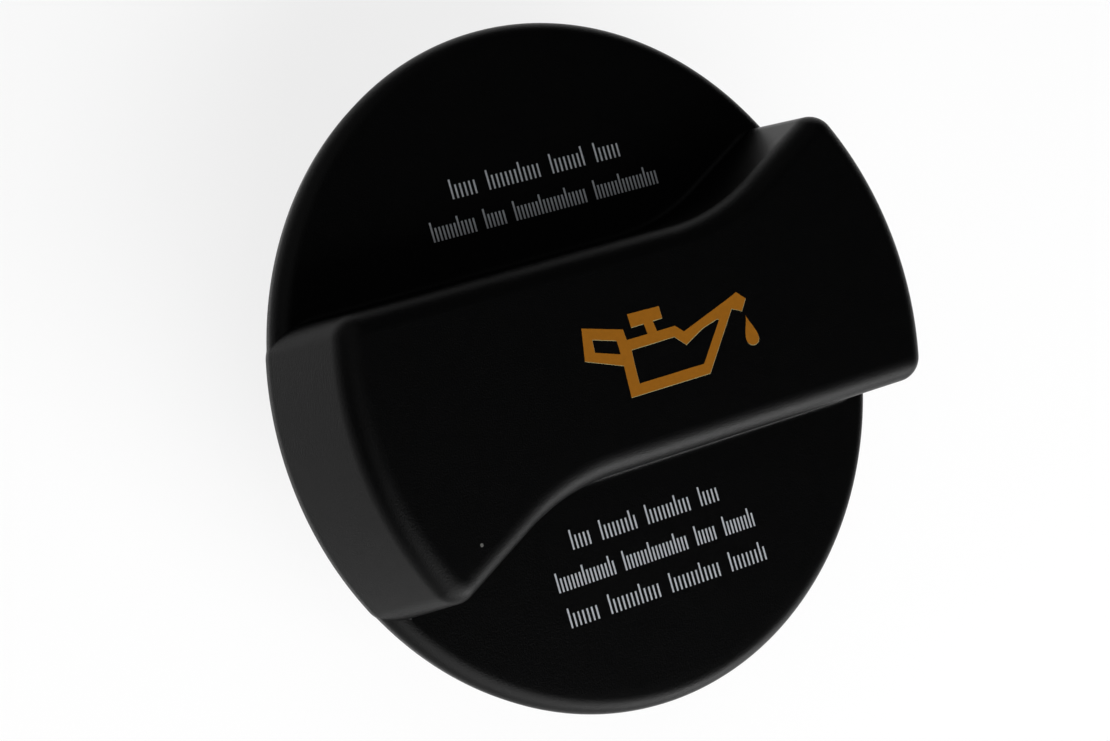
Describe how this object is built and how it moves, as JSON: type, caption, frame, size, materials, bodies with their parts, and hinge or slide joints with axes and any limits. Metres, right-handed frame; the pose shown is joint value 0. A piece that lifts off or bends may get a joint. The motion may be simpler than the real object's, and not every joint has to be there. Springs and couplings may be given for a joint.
{
  "type": "oil filler cap",
  "caption": "Black plastic bayonet filler cap for an engine: a round disc with a raised Z-shaped grip across it, over a lugged neck with a rubber sealing ring.",
  "frame": {"origin": "centre of the end face of the neck, on the axis of the cap, where the cap stands", "axes": "+Z along the axis, out of the face of the disc; +X along the grip"},
  "size_m": [0.0808, 0.0806, 0.038],
  "materials": {
    "shell_plastic": "fine-grained black moulding",
    "neck_plastic": "smooth black moulding",
    "seal_rubber": "dull black rubber",
    "amber_ink": "amber pad printing",
    "pale_ink": "pale grey pad printing"
  },
  "bodies": {
    "root": {"cap_shell": "shell_plastic", "bayonet_neck": "neck_plastic", "seal_ring": "seal_rubber"}
  },
  "joints": []
}
